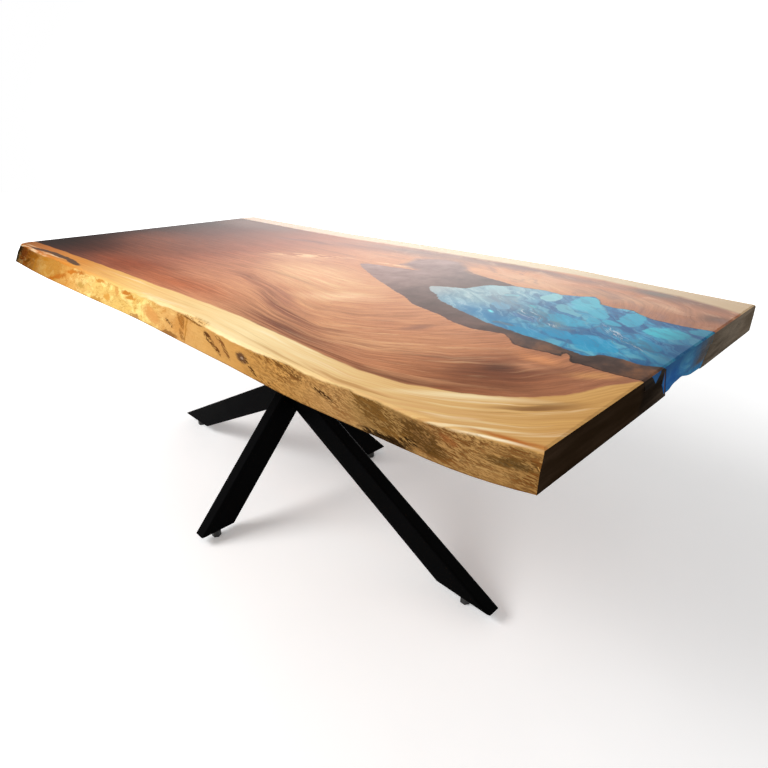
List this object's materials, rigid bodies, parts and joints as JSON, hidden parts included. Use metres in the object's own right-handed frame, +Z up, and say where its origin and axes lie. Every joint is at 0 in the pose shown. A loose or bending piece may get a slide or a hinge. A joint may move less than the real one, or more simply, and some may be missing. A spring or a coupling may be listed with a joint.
{
  "type": "live edge dining table",
  "caption": "Rectangular dining table with a live edge hardwood slab, an inlaid blue resin river and a welded black steel spider base on levelling feet.",
  "frame": {"origin": "on the floor under the middle of the table's overall box", "axes": "+Z up, +X along the table towards the end where the resin runs out, -Y the side whose live edge faces the viewer"},
  "size_m": [2.034, 0.986, 0.76],
  "materials": {
    "slab_wood": "dark figured heartwood with pale sapwood edges under a clear gloss coat",
    "blue_resin": "polished cast resin, turquoise in smoky blue",
    "powder_coat": "satin black powder coat",
    "zinc_steel": "zinc plated",
    "black_steel": "black oxide",
    "insert_brass": "plain",
    "foot_nylon": "black nylon"
  },
  "bodies": {
    "table": {"slab": "slab_wood", "resin_river": "blue_resin", "through_tube": "powder_coat", "right_half_tube": "powder_coat", "left_half_tube": "powder_coat", "far_upper_arm": "powder_coat", "near_upper_arm": "powder_coat", "near_lower_leg": "powder_coat", "far_lower_leg": "powder_coat", "foot_plate_right": "powder_coat", "mount_plate_right": "powder_coat", "foot_plate_left": "powder_coat", "mount_plate_left": "powder_coat", "foot_plate_near": "powder_coat", "mount_plate_near": "powder_coat", "foot_plate_far": "powder_coat", "mount_plate_far": "powder_coat", "weld_nuts": "zinc_steel", "mounting_bolts": "black_steel", "threaded_inserts": "insert_brass"},
    "right_levelling_foot": {"levelling_foot_right": "foot_nylon"},
    "right_levelling_stud": {"levelling_stud_right": "zinc_steel"},
    "left_levelling_foot": {"levelling_foot_left": "foot_nylon"},
    "left_levelling_stud": {"levelling_stud_left": "zinc_steel"},
    "near_levelling_foot": {"levelling_foot_near": "foot_nylon"},
    "near_levelling_stud": {"levelling_stud_near": "zinc_steel"},
    "far_levelling_foot": {"levelling_foot_far": "foot_nylon"},
    "far_levelling_stud": {"levelling_stud_far": "zinc_steel"}
  },
  "joints": [
    {"name": "right_foot_height", "type": "slide", "parent": "table", "child": "right_levelling_foot", "axis": [0, 0, 1], "range_m": [-0.012, 0.003]},
    {"name": "right_stud_turn", "type": "hinge", "parent": "right_levelling_foot", "child": "right_levelling_stud", "pos_m": [0.652, -0.04, 0.03], "axis": [0, 0, 1], "range_deg": [-2881, 721]},
    {"name": "left_foot_height", "type": "slide", "parent": "table", "child": "left_levelling_foot", "axis": [0, 0, 1], "range_m": [-0.012, 0.003]},
    {"name": "left_stud_turn", "type": "hinge", "parent": "left_levelling_foot", "child": "left_levelling_stud", "pos_m": [-0.724, -0.04, 0.03], "axis": [0, 0, 1], "range_deg": [-2881, 721]},
    {"name": "near_foot_height", "type": "slide", "parent": "table", "child": "near_levelling_foot", "axis": [0, 0, 1], "range_m": [-0.012, 0.003]},
    {"name": "near_stud_turn", "type": "hinge", "parent": "near_levelling_foot", "child": "near_levelling_stud", "pos_m": [-0.036, -0.3575, 0.03], "axis": [0, 0, 1], "range_deg": [-2881, 721]},
    {"name": "far_foot_height", "type": "slide", "parent": "table", "child": "far_levelling_foot", "axis": [0, 0, 1], "range_m": [-0.012, 0.003]},
    {"name": "far_stud_turn", "type": "hinge", "parent": "far_levelling_foot", "child": "far_levelling_stud", "pos_m": [-0.036, 0.2775, 0.03], "axis": [0, 0, 1], "range_deg": [-2881, 721]}
  ],
  "couplings": [
    {"joint": "right_stud_turn", "follows": "right_foot_height", "rad_per_m": 4188.8},
    {"joint": "left_stud_turn", "follows": "left_foot_height", "rad_per_m": 4188.8},
    {"joint": "near_stud_turn", "follows": "near_foot_height", "rad_per_m": 4188.8},
    {"joint": "far_stud_turn", "follows": "far_foot_height", "rad_per_m": 4188.8}
  ]
}
